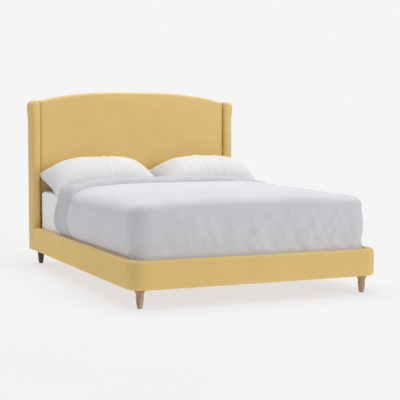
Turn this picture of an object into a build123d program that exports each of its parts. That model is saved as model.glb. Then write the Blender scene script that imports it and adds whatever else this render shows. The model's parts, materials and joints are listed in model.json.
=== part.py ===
from build123d import *
import os

# Upholstered queen bed with a winged, arched headboard, dressed with bedding.
# Millimetres. X runs across the bed, +Y towards the headboard, +Z up.
# The origin lies on the floor, midway between the sides, the foot face and the back.

# ---- Modelling allowances ----
cut_over = 1.0
same_place = 0.05

# ---- Mattress and the room left around it ----
mattress_width = 1524.0
mattress_length = 2032.0
mattress_thickness = 298.0
mattress_corner_radius = 35.0
mattress_edge_radius = 25.0
side_gap = 15.0
foot_gap = 62.0
head_gap = 8.0

# ---- Rails: a timber board inside padding and cloth ----
rail_height = 162.0
rail_board_thickness = 27.0
rail_pad_outer = 14.0
rail_pad_top = 10.0
rail_pad_inner = 7.0
rail_cloth_bottom = 4.0
rail_flap_height = 22.0
rail_edge_radius = 14.0
rail_inner_edge_radius = 5.0
foot_corner_radius = 100.0
foot_return = 112.0
cover_seam_gap = 0.5

# ---- Corner blocks and slat support ----
corner_block_width = 114.0
slat_recess = 26.0
slat_count = 13
slat_width = 80.0
slat_thickness = 18.0
slat_end_clearance = 3.0
slat_end_margin = 5.0
strap_width = 30.0
strap_thickness = 1.5
strap_spread = 0.52
ledge_width = 30.0
ledge_height = 30.0
ledge_end_clearance = 2.0
beam_width = 40.0
beam_height = 60.0
hanger_steel = 3.0
hanger_flange = 20.0
hanger_depth = 40.0
hanger_cheek = 45.0

# ---- Centre legs with levelling glides ----
centre_leg_count = 2
centre_leg_width = 45.0
glide_pad_radius = 19.0
glide_pad_height = 6.0
glide_stem_radius = 5.0
glide_stem_top = 70.0
glide_bore_clearance = 0.3
glide_bore_top = 86.0
centre_leg_lift = 24.0

# ---- Turned feet ----
foot_height = 114.0
foot_top_radius = 33.5
foot_neck_radius = 21.5
foot_ring_radius = 23.5
foot_tip_radius = 14.5
foot_rim_round = 0.8
foot_rim_height = 8.0
foot_ring_round = 1.5
foot_ring_drop = 7.0
foot_belly = 1.6
foot_neck_slope = 0.1
foot_rim_slope = 0.35
foot_neck_level = 72.0
foot_ring_level = 60.0
foot_inset_side = 82.0
foot_inset_front = 78.0
foot_inset_back = 34.0
foot_pad_height = 3.0
foot_pad_radius = 13.5
foot_plate_size = 64.0
foot_plate_thickness = 2.0
foot_plate_radius = 8.0
foot_bolt_radius = 4.0
foot_bolt_bottom = 74.0
foot_bolt_rise = 36.0

# ---- Headboard ----
headboard_height = 1302.0
arch_drop = 75.0
headboard_depth = 125.0
wing_height = 1234.0
wing_width = 68.0
wing_projection = 33.0
wing_top_radius = 42.0
wing_nose_flat = 10.0
wing_skin = 14.0
wing_board_thickness = 18.0
wing_board_setback = 18.0
wing_board_top_gap = 22.0
headboard_back_cloth = 4.0
frame_depth = 60.0
face_board_thickness = 6.0
post_width = 100.0
post_top_gap = 14.0
cross_rail_height = 100.0
middle_rail_level = 650.0
pad_top_layer = 12.0
pad_edge_radius = 22.0
pad_wing_gap = 0.5
pad_bottom_drop = 14.0
pocket_clearance = 1.0

# ---- Corner brackets ----
bracket_steel = 3.0
bracket_leg = 50.0
bracket_height = 68.0
bracket_bolt_inset = 20.0
bracket_bolt_radius = 4.0
bracket_bolt_length = 22.0
bracket_head_radius = 7.0
bracket_head_height = 4.0
bolt_hole_clearance = 0.3

# ---- Bedding ----
sheet_thickness = 2.0
sheet_return = 60.0
layer_gap = 0.4
blanket_side = 4.5
blanket_top = 46.0
fold_rise = 60.0
fold_side_inset = 34.0
fold_duvet_gap = 12.0
fold_corner_radius = 60.0
fold_edge_radius = 40.0
blanket_head_setback = 477.0
duvet_tuck = 6.0
duvet_top = 46.0
duvet_overhang = 34.0
duvet_foot_loft = 40.0
duvet_corner_radius = 110.0
duvet_edge_radius = 95.0
duvet_head_setback = 815.0
tuck_depth = 16.0
duvet_rail_clearance = 6.0
pillow_length = 780.0
pillow_width = 470.0
pillow_thickness = 150.0
pillow_round = 64.0
pillow_lean = 17.0
pillow_gap = 15.0
pillow_pair_shift = 32.0
pillow_back_gap = 4.0
pillow_rest_gap = 1.5
pillow_right_forward = 36.0
case_thickness = 1.5
case_clearance = 0.4
case_slit_length = 300.0
case_slit_height = 5.0

# ---- Places worked out from the sizes above ----
rail_thickness = rail_pad_outer + rail_board_thickness + rail_pad_inner
half_width = mattress_width / 2 + side_gap + rail_thickness
overall_length = rail_thickness + foot_gap + mattress_length + head_gap + headboard_depth
foot_face = -overall_length / 2
back_face = overall_length / 2
wing_front = back_face - headboard_depth
mattress_foot = foot_face + rail_thickness + foot_gap
mattress_head = mattress_foot + mattress_length
mattress_half = mattress_width / 2

rail_bottom = foot_height
rail_top = rail_bottom + rail_height
board_bottom = rail_bottom + rail_cloth_bottom
board_top = rail_top - rail_pad_top
board_outer = half_width - rail_pad_outer
board_inner = board_outer - rail_board_thickness
flap_bottom = rail_top - rail_flap_height
joint_line = foot_face + foot_return

slat_top = rail_top - slat_recess
slat_bottom = slat_top - slat_thickness
ledge_bottom = slat_bottom - ledge_height
bracket_bottom = ledge_bottom - bracket_height
beam_bottom = slat_bottom - beam_height

frame_back = back_face - headboard_back_cloth
frame_front = frame_back - frame_depth
face_board_front = frame_front - face_board_thickness
pad_front = wing_front + wing_projection
pad_half = half_width - wing_width
pad_bottom = rail_top - pad_bottom_drop
post_outer = half_width - wing_skin
post_inner = post_outer - post_width
post_top = wing_height - post_top_gap
foot_board_inner = foot_face + rail_pad_outer + rail_board_thickness

mattress_bottom = slat_top + strap_thickness + sheet_thickness + layer_gap
mattress_top = mattress_bottom + mattress_thickness
sheet_top = mattress_top + sheet_thickness

foot_x = half_width - foot_inset_side
foot_front_y = foot_face + foot_inset_front
foot_back_y = back_face - foot_inset_back
foot_top = foot_height - foot_plate_thickness


def block(x, y, z):
    """A box between the given pairs of limits."""
    centre = Pos(sum(x) / 2, sum(y) / 2, sum(z) / 2)
    return centre * Box(x[1] - x[0], y[1] - y[0], z[1] - z[0])


def upright(x, y, z, radius):
    """A vertical cylinder centred at x, y between the two heights."""
    return Pos(x, y, sum(z) / 2) * Cylinder(radius, z[1] - z[0])


def other_side(shape):
    """The same piece on the left of the bed."""
    return mirror(shape, about=Plane.YZ)


def save(name, shape):
    """Write one node, keeping only its solids."""
    solids = shape.solids()
    whole = solids[0] if len(solids) == 1 else Compound(children=list(solids))
    whole.label = name
    export_step(whole, f"parts/{name}.step")


def save_pair(name, shape):
    """Write a piece of the right side and its mirror image on the left."""
    save(f"{name}_right", shape)
    save(f"{name}_left", other_side(shape))


def edges_where(shape, test):
    """The edges whose middle point passes a test."""
    return [edge for edge in shape.edges() if test(edge.center())]


def near(value, target):
    return abs(value - target) < same_place


# ---- Headboard shapes ----
def arch_height(x):
    """Top line of the headboard, falling with the cube of the distance from its middle."""
    return headboard_height - arch_drop * abs(x / pad_half) ** 3


def arch_slab(half, bottom, drop, y):
    """A slab under the arch, drop below its top line, between two depths."""
    spans = 6
    stations = [pad_half * step / spans for step in range(-spans, spans + 1)]
    top = Spline(*[(x, 0, arch_height(x) - drop) for x in stations])
    sides = Polyline(top @ 1, (pad_half, 0, bottom), (-pad_half, 0, bottom), top @ 0)
    face = make_face([top, sides])
    slab = Pos(0, y[0], 0) * extrude(face, amount=y[1] - y[0], dir=(0, 1, 0))
    if half == pad_half:
        return slab
    return slab & block((-half, half), y, (bottom, headboard_height))


def wing_slab(y):
    """The outline of the right wing between two depths, with its top outer corner rounded."""
    slab = block((pad_half, half_width), y, (rail_bottom, wing_height))
    corner = edges_where(slab, lambda c: near(c.X, half_width) and near(c.Z, wing_height))
    return fillet(corner, wing_top_radius)


def plain_post():
    """A side post before its bolt holes."""
    slab = block((post_inner, post_outer), (frame_front, frame_back), (rail_bottom, post_top))
    corner = edges_where(slab, lambda c: near(c.X, post_outer) and near(c.Z, post_top))
    return fillet(corner, wing_top_radius - wing_skin)


def drilled_post():
    post = plain_post() - foot_bolt_hole(foot_x, foot_back_y)
    return post - bracket_holes(frame_front, 1)


def wing_board():
    outer = half_width - wing_skin
    x = (outer - wing_board_thickness, outer)
    y = (wing_front + wing_board_setback, frame_front)
    return block(x, y, (rail_top, wing_height - wing_board_top_gap))


def wing_roll():
    """Padded roll round the wing board, with a pocket for the end of the rail."""
    roll = wing_slab((wing_front, frame_back))
    nose = edges_where(roll, lambda c: near(c.Y, wing_front) and c.Z > rail_bottom + cut_over)
    roll = fillet(nose, (wing_width - wing_nose_flat) / 2)
    x = (pad_half - cut_over, board_outer + pocket_clearance)
    y = (wing_front - cut_over, frame_front)
    pocket = block(x, y, (board_bottom, board_top + pocket_clearance))
    return roll - wing_board() - plain_post() - pocket


def headboard_front_pad():
    """Foam and cloth over the front and the top of the headboard frame."""
    half = pad_half - pad_wing_gap
    pad = arch_slab(half, pad_bottom, 0, (pad_front, frame_back))
    front = edges_where(pad, lambda c: near(c.Y, pad_front) and c.Z > pad_bottom + cut_over)
    pad = fillet(front, pad_edge_radius)
    core = arch_slab(pad_half, pad_bottom - cut_over, pad_top_layer, (face_board_front, frame_back))
    return pad - core - plain_post() - other_side(plain_post())


def headboard_back_panel():
    y = (frame_back, back_face)
    wing = wing_slab(y)
    return arch_slab(pad_half, rail_bottom, 0, y) + wing + other_side(wing)


def save_headboard():
    frame_y = (frame_front, frame_back)
    across = (-post_inner, post_inner)
    save_pair("headboard_post", drilled_post())
    save_pair("wing_board", wing_board())
    save_pair("wing_roll", wing_roll())
    top_rail_bottom = arch_height(post_inner) - pad_top_layer - cross_rail_height
    save("headboard_top_rail", arch_slab(post_inner, top_rail_bottom, pad_top_layer, frame_y))
    middle = (middle_rail_level, middle_rail_level + cross_rail_height)
    save("headboard_middle_rail", block(across, frame_y, middle))
    save("headboard_bottom_rail", block(across, frame_y, (board_bottom, pad_bottom)))
    face_y = (face_board_front, frame_front)
    save("headboard_face_board", arch_slab(pad_half, pad_bottom, pad_top_layer, face_y))
    save("headboard_front_pad", headboard_front_pad())
    save("headboard_back_panel", headboard_back_panel())


# ---- Rail shapes ----
def foot_plan(inset):
    """Plan of the foot end, inset from its outer face, open towards the head."""
    run = overall_length
    width = 2 * (half_width - inset)
    plan = RectangleRounded(width, run, foot_corner_radius - inset)
    placed = Pos(0, foot_face + inset + run / 2) * plan
    reach = Pos(0, joint_line - run / 2) * Rectangle(width, run)
    return placed & reach


def foot_region(inset, z):
    return Pos(0, 0, z[0]) * extrude(foot_plan(inset), amount=z[1] - z[0])


def foot_rail_cover():
    """U-shaped padded cover that wraps the foot board and both corner blocks."""
    cover = foot_region(0, (rail_bottom, rail_top))
    brim = edges_where(cover, lambda c: near(c.Z, rail_top) and c.Y < joint_line - cut_over)
    cover = fillet(brim, rail_edge_radius)
    cover -= foot_region(rail_thickness, (rail_bottom - cut_over, rail_top + cut_over))
    board_inset = rail_pad_outer + rail_board_thickness
    core = foot_region(rail_pad_outer, (board_bottom, board_top))
    core -= foot_region(board_inset, (board_bottom, board_top))
    open_side = foot_region(board_inset, (rail_bottom - cut_over, flap_bottom))
    return cover - core - open_side


def foot_rail_board():
    reach = board_outer - corner_block_width
    y = (foot_face + rail_pad_outer, foot_board_inner)
    return block((-reach, reach), y, (board_bottom, board_top))


def corner_block():
    """Solid block in the rounded corner, lower where the slat area starts."""
    inner_plan = rail_pad_outer + rail_board_thickness
    step_level = slat_bottom - hanger_steel
    solid = foot_region(rail_pad_outer, (board_bottom, board_top))
    solid -= foot_region(inner_plan, (step_level, board_top + cut_over))
    solid += foot_region(inner_plan, (rail_bottom, board_bottom))
    x = (board_outer - corner_block_width, board_outer)
    solid &= block(x, (foot_face, joint_line), (rail_bottom, board_top))
    solid -= foot_bolt_hole(foot_x, foot_front_y)
    return solid - bracket_holes(joint_line, -1)


def side_rail_board():
    x = (board_inner, board_outer)
    board = block(x, (joint_line, frame_front), (board_bottom, board_top))
    return board - bracket_holes(joint_line, -1) - bracket_holes(frame_front, 1)


def side_rail_cover():
    """Padded cover round the side board, with a short flap inside."""
    y = (joint_line + cover_seam_gap, wing_front)
    x = (board_inner - rail_pad_inner, half_width)
    cover = block(x, y, (rail_bottom, rail_top))
    outer = edges_where(cover, lambda c: near(c.X, half_width) and near(c.Z, rail_top))
    cover = fillet(outer, rail_edge_radius)
    inner = edges_where(cover, lambda c: near(c.X, x[0]) and near(c.Z, rail_top))
    cover = fillet(inner, rail_inner_edge_radius)
    open_y = (y[0] - cut_over, y[1] + cut_over)
    board_space = block((board_inner, board_outer), open_y, (board_bottom, board_top))
    flap_x = (x[0] - cut_over, board_inner)
    flap_space = block(flap_x, open_y, (rail_bottom - cut_over, flap_bottom))
    return cover - board_space - flap_space


def save_rails():
    save("foot_rail_cover", foot_rail_cover())
    save("foot_rail_board", foot_rail_board())
    save_pair("corner_block", corner_block())
    save_pair("side_rail_board", side_rail_board())
    save_pair("side_rail_cover", side_rail_cover())


# ---- Slat support ----
def slat_ledge():
    x = (board_inner - ledge_width, board_inner)
    y = (joint_line, frame_front - ledge_end_clearance)
    return block(x, y, (ledge_bottom, slat_bottom))


def slat_places():
    """Middle of each slat along the bed."""
    first = joint_line + slat_end_margin + slat_width / 2
    last = frame_front - ledge_end_clearance - slat_end_margin - slat_width / 2
    pitch = (last - first) / (slat_count - 1)
    return [first + pitch * index for index in range(slat_count)]


def save_slats():
    places = slat_places()
    reach = board_inner - slat_end_clearance
    for number, y in enumerate(places, start=1):
        span = (y - slat_width / 2, y + slat_width / 2)
        save(f"slat_{number:02d}", block((-reach, reach), span, (slat_bottom, slat_top)))
    run = (places[0] - slat_width / 2, places[-1] + slat_width / 2)
    x = strap_spread * reach
    strap = block((x, x + strap_width), run, (slat_top, slat_top + strap_thickness))
    save("slat_straps", strap + other_side(strap))


def beam_hanger(y, direction):
    """Steel stirrup under one end of the centre beam, fixed to the timber at y."""
    half = beam_width / 2
    plate_y = sorted((y, y + direction * hanger_steel))
    seat_y = sorted((y, y + direction * hanger_depth))
    floor_z = (beam_bottom - hanger_steel, beam_bottom)
    plate = block((-half - hanger_flange, half + hanger_flange), plate_y, (floor_z[0], slat_bottom))
    seat = block((-half - hanger_steel, half + hanger_steel), seat_y, floor_z)
    cheek = block((half, half + hanger_steel), seat_y, (beam_bottom, beam_bottom + hanger_cheek))
    return plate + seat + cheek + other_side(cheek)


def centre_leg_places():
    """Even spacing along the beam."""
    run = frame_front - foot_board_inner
    pitch = run / (centre_leg_count + 1)
    return [foot_board_inner + pitch * index for index in range(1, centre_leg_count + 1)]


def centre_leg(y):
    half = centre_leg_width / 2
    leg = block((-half, half), (y - half, y + half), (centre_leg_lift, beam_bottom))
    bore = glide_stem_radius + glide_bore_clearance
    return leg - upright(0, y, (centre_leg_lift - cut_over, glide_bore_top), bore)


def levelling_glide(y):
    pad = upright(0, y, (0, glide_pad_height), glide_pad_radius)
    return pad + upright(0, y, (glide_pad_height, glide_stem_top), glide_stem_radius)


def save_slat_support():
    save_pair("slat_ledge", slat_ledge())
    beam_y = (foot_board_inner + hanger_steel, frame_front - hanger_steel)
    half = beam_width / 2
    save("centre_beam", block((-half, half), beam_y, (beam_bottom, slat_bottom)))
    hangers = beam_hanger(foot_board_inner, 1) + beam_hanger(frame_front, -1)
    save("beam_hangers", hangers)
    for number, y in enumerate(centre_leg_places(), start=1):
        save(f"centre_leg_{number}", centre_leg(y))
        save(f"levelling_glide_{number}", levelling_glide(y))


# ---- Feet ----
def foot_bolt_hole(x, y):
    z = (foot_bolt_bottom - cut_over, foot_height + foot_bolt_rise + cut_over)
    return upright(x, y, z, foot_bolt_radius + bolt_hole_clearance)


def turned_foot(x, y):
    """Turned timber foot: flared cup, narrow neck, ring and a long taper."""
    tip = (foot_tip_radius, foot_pad_height)
    ring_low = (foot_ring_radius - foot_ring_round, foot_ring_level - foot_ring_drop)
    ring = (foot_ring_radius, foot_ring_level)
    neck = (foot_neck_radius, foot_neck_level)
    rim_low = (foot_top_radius - foot_rim_round, foot_top - foot_rim_height)
    rim = (foot_top_radius, foot_top)
    belly = ((tip[0] + ring_low[0]) / 2 + foot_belly, (tip[1] + ring_low[1]) / 2)
    taper = Spline(tip, belly, ring_low)
    bead = ThreePointArc(ring_low, ring, neck)
    cup = Spline(neck, rim_low, tangents=[(foot_neck_slope, 1), (foot_rim_slope, 1)])
    closing = Polyline(rim_low, rim, (0, foot_top), (0, foot_pad_height), tip)
    outline = make_face([taper, bead, cup, closing])
    foot = Pos(x, y, 0) * revolve(Plane.XZ * outline, Axis.Z)
    return foot - foot_bolt_hole(x, y)


def foot_plate(x, y):
    plan = RectangleRounded(foot_plate_size, foot_plate_size, foot_plate_radius)
    plate = Pos(x, y, foot_top) * extrude(plan, amount=foot_plate_thickness)
    return plate - foot_bolt_hole(x, y)


def all_feet(make):
    """The same piece at all four feet."""
    pair = make(foot_x, foot_front_y) + make(foot_x, foot_back_y)
    return pair + other_side(pair)


def save_feet():
    save_pair("foot_front", turned_foot(foot_x, foot_front_y))
    save_pair("foot_rear", turned_foot(foot_x, foot_back_y))
    save("foot_plates", all_feet(foot_plate))
    bolt_z = (foot_bolt_bottom, foot_height + foot_bolt_rise)
    save("foot_bolts", all_feet(lambda x, y: upright(x, y, bolt_z, foot_bolt_radius)))
    pad_z = (0, foot_pad_height)
    save("foot_pads", all_feet(lambda x, y: upright(x, y, pad_z, foot_pad_radius)))


# ---- Corner brackets and their bolts ----
def bracket_levels():
    """Heights of the two bolts in each bracket leg."""
    return [bracket_bottom + bracket_bolt_inset, ledge_bottom - bracket_bolt_inset]


def bolt_along(x, y, z, turn, shank, head):
    """A bolt whose shank starts at the bracket face and runs into the timber."""
    body = Pos(0, 0, shank[1] / 2) * Cylinder(shank[0], shank[1])
    body += Pos(0, 0, -bracket_steel - head[1] / 2) * Cylinder(head[0], head[1])
    neck = Pos(0, 0, -bracket_steel / 2) * Cylinder(shank[0], bracket_steel)
    return Location((x, y, z), turn) * (body + neck)


def bracket_bolts(joint_y, direction, shank, head):
    """The four bolts of one corner; direction points from the rail into the end timber."""
    rail_y = joint_y - direction * (bracket_leg - bracket_bolt_inset)
    end_x = board_inner - (bracket_leg - bracket_bolt_inset)
    bolts = []
    for z in bracket_levels():
        bolts.append(bolt_along(board_inner, rail_y, z, (0, 90, 0), shank, head))
        bolts.append(bolt_along(end_x, joint_y, z, (-90 * direction, 0, 0), shank, head))
    return bolts


def bracket_holes(joint_y, direction):
    radius = bracket_bolt_radius + bolt_hole_clearance
    shank = (radius, bracket_bolt_length + cut_over)
    return Compound(children=bracket_bolts(joint_y, direction, shank, (radius, cut_over)))


def corner_bracket(joint_y, direction):
    """Steel angle between the inside of a side rail and the timber it meets."""
    z = (bracket_bottom, ledge_bottom)
    reach_y = sorted((joint_y, joint_y - direction * bracket_leg))
    steel_y = sorted((joint_y, joint_y - direction * bracket_steel))
    rail_leg = block((board_inner - bracket_steel, board_inner), reach_y, z)
    end_leg = block((board_inner - bracket_leg, board_inner), steel_y, z)
    return rail_leg + end_leg - bracket_holes(joint_y, direction)


def save_brackets():
    foot_corner = corner_bracket(joint_line, -1)
    head_corner = corner_bracket(frame_front, 1)
    pair = foot_corner + head_corner
    save("rail_brackets", pair + other_side(pair))
    shank = (bracket_bolt_radius, bracket_bolt_length)
    head = (bracket_head_radius, bracket_head_height)
    bolts = bracket_bolts(joint_line, -1, shank, head)
    bolts += bracket_bolts(frame_front, 1, shank, head)
    bolts += [other_side(bolt) for bolt in bolts]
    save("rail_bolts", Compound(children=bolts))


# ---- Bedding ----
def rounded_block(side, x, y, z, plan_radius, edge_radius):
    """A block grown by side all round, with rounded corners in plan and round its top."""
    slab = block((x[0] - side, x[1] + side), (y[0] - side, y[1] + side), z)
    slab = fillet(slab.edges().filter_by(Axis.Z), plan_radius)
    rim = edges_where(slab, lambda c: near(c.Z, z[1]))
    return fillet(rim, edge_radius)


def over_mattress(side, top, bottom):
    """The mattress outline grown by side and by top, down to the given level."""
    x = (-mattress_half, mattress_half)
    y = (mattress_foot, mattress_head)
    z = (bottom, mattress_top + top)
    return rounded_block(side, x, y, z, mattress_corner_radius + side, mattress_edge_radius + side)


def towards_foot(limit, bottom):
    """Everything on the foot side of a line and above a level."""
    y = (foot_face - cut_over, limit)
    return block((-half_width * 2, half_width * 2), y, (bottom, headboard_height))


def fitted_sheet(mattress):
    skin = over_mattress(sheet_thickness, sheet_thickness, mattress_bottom - sheet_thickness)
    x = mattress_half - sheet_return
    y = (mattress_foot + sheet_return, mattress_head - sheet_return)
    gap = block((-x, x), y, (mattress_bottom - 2 * sheet_thickness, mattress_bottom))
    return skin - mattress - gap


def blanket_fold(level):
    """The head end of the blanket, folded back on itself beyond the duvet."""
    half = mattress_half - fold_side_inset
    duvet_edge = mattress_head - duvet_head_setback
    y = (duvet_edge + fold_duvet_gap, mattress_head - blanket_head_setback)
    z = (level - fold_edge_radius, level + fold_rise)
    return rounded_block(0, (-half, half), y, z, fold_corner_radius, fold_edge_radius)


def blanket_shape():
    inner_side = sheet_thickness + layer_gap
    outer_side = inner_side + blanket_side
    tuck_bottom = rail_top - tuck_depth
    outer = over_mattress(outer_side, inner_side + blanket_top, tuck_bottom)
    inner = over_mattress(inner_side, inner_side, tuck_bottom - cut_over)
    spread = (outer - inner) & towards_foot(mattress_head - blanket_head_setback, tuck_bottom)
    return spread + blanket_fold(mattress_top + inner_side + blanket_top)


def duvet_shape():
    """Plump duvet over the blanket, thin where it is tucked inside the rails."""
    inner_side = sheet_thickness + 2 * layer_gap + blanket_side
    inner_top = inner_side + blanket_top - blanket_side
    tuck_bottom = rail_top - tuck_depth
    plump_bottom = rail_top + duvet_rail_clearance
    inner = over_mattress(inner_side, inner_top, tuck_bottom - cut_over)
    tuck = over_mattress(inner_side + duvet_tuck, inner_top, tuck_bottom)
    x = (-mattress_half - duvet_overhang, mattress_half + duvet_overhang)
    y = (mattress_foot - duvet_foot_loft, mattress_head)
    z = (plump_bottom, mattress_top + inner_top + duvet_top)
    plump = rounded_block(0, x, y, z, duvet_corner_radius, duvet_edge_radius)
    whole = plump + (tuck & towards_foot(mattress_head, tuck_bottom))
    return (whole - inner) & towards_foot(mattress_head - duvet_head_setback, tuck_bottom)


def cushion(shrink):
    """A plump rounded block, smaller by shrink on every face."""
    size = [pillow_length, pillow_width, pillow_thickness]
    body = Box(*[length - 2 * shrink for length in size])
    return fillet(body.edges(), pillow_round - shrink)


def pillow_place(x, forward):
    """Where a pillow leans: its back near the headboard pad, its front on the sheet."""
    turn = Rotation(pillow_lean, 0, 0)
    box = (turn * cushion(0)).bounding_box()
    y = pad_front - pillow_back_gap - forward - box.max.Y
    z = sheet_top + pillow_rest_gap - box.min.Z
    return Pos(x, y, z) * turn


def pillowcase():
    """Thin cotton case with a slit at the end that faces the other pillow."""
    case = cushion(0) - cushion(case_thickness)
    reach = pillow_length / 4
    slit = Pos(-pillow_length / 2, 0, 0) * Box(reach, case_slit_length, case_slit_height)
    return case - slit


def save_bedding():
    z = (mattress_bottom, mattress_top)
    x = (-mattress_half, mattress_half)
    y = (mattress_foot, mattress_head)
    mattress = rounded_block(0, x, y, z, mattress_corner_radius, mattress_edge_radius)
    save("mattress", mattress)
    save("fitted_sheet", fitted_sheet(mattress))
    save("blanket", blanket_shape())
    save("duvet", duvet_shape())
    offset = (pillow_length + pillow_gap) / 2
    right = pillow_place(pillow_pair_shift + offset, pillow_right_forward)
    left = pillow_place(pillow_pair_shift - offset, 0)
    core = cushion(case_thickness + case_clearance)
    case = pillowcase()
    save("pillow_right", right * core)
    save("pillow_left", left * core)
    save("pillowcase_right", right * case)
    save("pillowcase_left", left * mirror(case, about=Plane.YZ))


os.makedirs("parts", exist_ok=True)
save_headboard()
save_rails()
save_slats()
save_slat_support()
save_feet()
save_brackets()
save_bedding()
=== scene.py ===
import json
import math

import bmesh
import bpy
import numpy as np
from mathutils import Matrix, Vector, noise


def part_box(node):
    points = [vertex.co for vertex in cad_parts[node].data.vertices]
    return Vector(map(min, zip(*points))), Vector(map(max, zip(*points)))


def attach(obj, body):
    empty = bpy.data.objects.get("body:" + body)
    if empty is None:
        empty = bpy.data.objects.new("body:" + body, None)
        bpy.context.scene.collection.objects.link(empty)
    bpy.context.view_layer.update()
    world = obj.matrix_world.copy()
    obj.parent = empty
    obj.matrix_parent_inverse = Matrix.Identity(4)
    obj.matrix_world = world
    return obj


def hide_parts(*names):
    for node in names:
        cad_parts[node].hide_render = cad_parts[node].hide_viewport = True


# Upholstered queen bed, dressed with bedding. Metres, in the frame of the CAD part:
# X across the bed, +Y towards the headboard, +Z up.

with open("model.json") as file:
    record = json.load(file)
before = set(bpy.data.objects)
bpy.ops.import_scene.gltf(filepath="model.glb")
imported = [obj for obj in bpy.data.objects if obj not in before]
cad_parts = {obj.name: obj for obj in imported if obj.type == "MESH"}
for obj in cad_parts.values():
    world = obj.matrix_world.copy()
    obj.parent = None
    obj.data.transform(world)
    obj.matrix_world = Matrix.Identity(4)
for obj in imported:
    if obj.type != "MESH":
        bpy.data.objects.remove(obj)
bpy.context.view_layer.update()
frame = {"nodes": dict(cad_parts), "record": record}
nodes = frame["nodes"]


# ---------------------------------------- materials
def tint(red, green, blue):
    """A display colour, 0 to 255, as the linear colour that a shader takes."""
    def linear(value):
        value /= 255
        return value / 12.92 if value <= 0.04045 else ((value + 0.055) / 1.055) ** 2.4
    return (linear(red), linear(green), linear(blue), 1.0)


class Paint:
    """One procedural material, with short calls that wire its nodes."""

    def __init__(self, name, roughness=0.8, **constants):
        self.material = bpy.data.materials.new(name)
        self.material.use_nodes = True
        self.tree = self.material.node_tree
        self.shader = self.tree.nodes["Principled BSDF"]
        self.shader.inputs["Roughness"].default_value = roughness
        for socket, value in constants.items():
            self.shader.inputs[socket.replace("_", " ")].default_value = value
        coordinates = self.tree.nodes.new("ShaderNodeTexCoord")
        self.place = coordinates.outputs["Object"]
        self.normal = coordinates.outputs["Normal"]

    def feed(self, socket, value):
        if isinstance(value, bpy.types.NodeSocket):
            self.tree.links.new(value, socket)
        else:
            socket.default_value = value

    def math(self, operation, *values):
        made = self.tree.nodes.new("ShaderNodeMath")
        made.operation = operation
        for socket, value in zip(made.inputs, values):
            self.feed(socket, value)
        return made.outputs[0]

    def stretched(self, stretch):
        made = self.tree.nodes.new("ShaderNodeVectorMath")
        made.operation = "MULTIPLY"
        self.feed(made.inputs[0], self.place)
        made.inputs[1].default_value = stretch
        return made.outputs[0]

    def cloud(self, scale, detail=3.0, stretch=(1, 1, 1)):
        """Soft noise; a larger scale is finer, and stretch squeezes it along an axis."""
        made = self.tree.nodes.new("ShaderNodeTexNoise")
        self.feed(made.inputs["Vector"], self.stretched(stretch))
        made.inputs["Scale"].default_value = scale
        made.inputs["Detail"].default_value = detail
        return made.outputs["Fac"]

    def span(self, value, low, high, to_low=0.0, to_high=1.0):
        made = self.tree.nodes.new("ShaderNodeMapRange")
        for socket, given in zip(made.inputs, (value, low, high, to_low, to_high)):
            self.feed(socket, given)
        return made.outputs[0]

    def mix(self, share, first, second):
        made = self.tree.nodes.new("ShaderNodeMix")
        made.data_type = "RGBA"
        self.feed(made.inputs[0], share)
        self.feed(made.inputs[6], first)
        self.feed(made.inputs[7], second)
        return made.outputs[2]

    def axes(self, vector):
        made = self.tree.nodes.new("ShaderNodeSeparateXYZ")
        self.feed(made.inputs[0], vector)
        return [made.outputs[axis] for axis in range(3)]

    def weave(self, pitch):
        """Over and under threads on whichever way the surface faces, from -1 to 1."""
        turns = 2 * math.pi / pitch
        waves = [self.math("SINE", self.math("MULTIPLY", axis, turns)) for axis in self.axes(self.place)]
        facing = [self.math("MULTIPLY", axis, axis) for axis in self.axes(self.normal)]
        parts = []
        for axis in range(3):
            first, second = waves[(axis + 1) % 3], waves[(axis + 2) % 3]
            parts.append(self.math("MULTIPLY", facing[axis], self.math("MULTIPLY", first, second)))
        return self.math("ADD", parts[0], self.math("ADD", parts[1], parts[2]))

    def bump(self, height, depth, strength=1.0, under=None):
        made = self.tree.nodes.new("ShaderNodeBump")
        made.inputs["Strength"].default_value = strength
        made.inputs["Distance"].default_value = depth
        self.feed(made.inputs["Height"], height)
        if under is not None:
            self.feed(made.inputs["Normal"], under)
        return made.outputs[0]

    def finish(self, colour, normal=None, roughness=None):
        self.feed(self.shader.inputs["Base Color"], colour)
        if normal is not None:
            self.feed(self.shader.inputs["Normal"], normal)
        if roughness is not None:
            self.feed(self.shader.inputs["Roughness"], roughness)
        return self.material


def cloth(name, light, dark, pitch, sheen, depth, slub=0.5, roughness=0.85):
    """Woven cloth: threads, uneven yarn and a slow drift of colour."""
    paint = Paint(name, roughness, Sheen_Weight=sheen, Specular_IOR_Level=0.2)
    threads = paint.weave(pitch)
    yarn = paint.cloud(420, 2.0, (1, 1, 0.12))
    cross_yarn = paint.cloud(420, 2.0, (0.12, 0.12, 1))
    drift = paint.cloud(3.5, 4.0)
    uneven = paint.math("MULTIPLY", paint.math("ADD", yarn, cross_yarn), 0.5)
    shade = paint.math("ADD", paint.math("MULTIPLY", uneven, slub), paint.math("MULTIPLY", drift, 1 - slub))
    shade = paint.math("ADD", paint.span(shade, 0.35, 0.65), paint.math("MULTIPLY", threads, 0.10))
    colour = paint.mix(shade, dark, light)
    height = paint.math("ADD", threads, paint.math("MULTIPLY", uneven, 1.2))
    rough = paint.span(drift, 0.3, 0.7, roughness - 0.06, roughness + 0.06)
    return paint.finish(colour, paint.bump(height, depth), rough)


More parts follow.
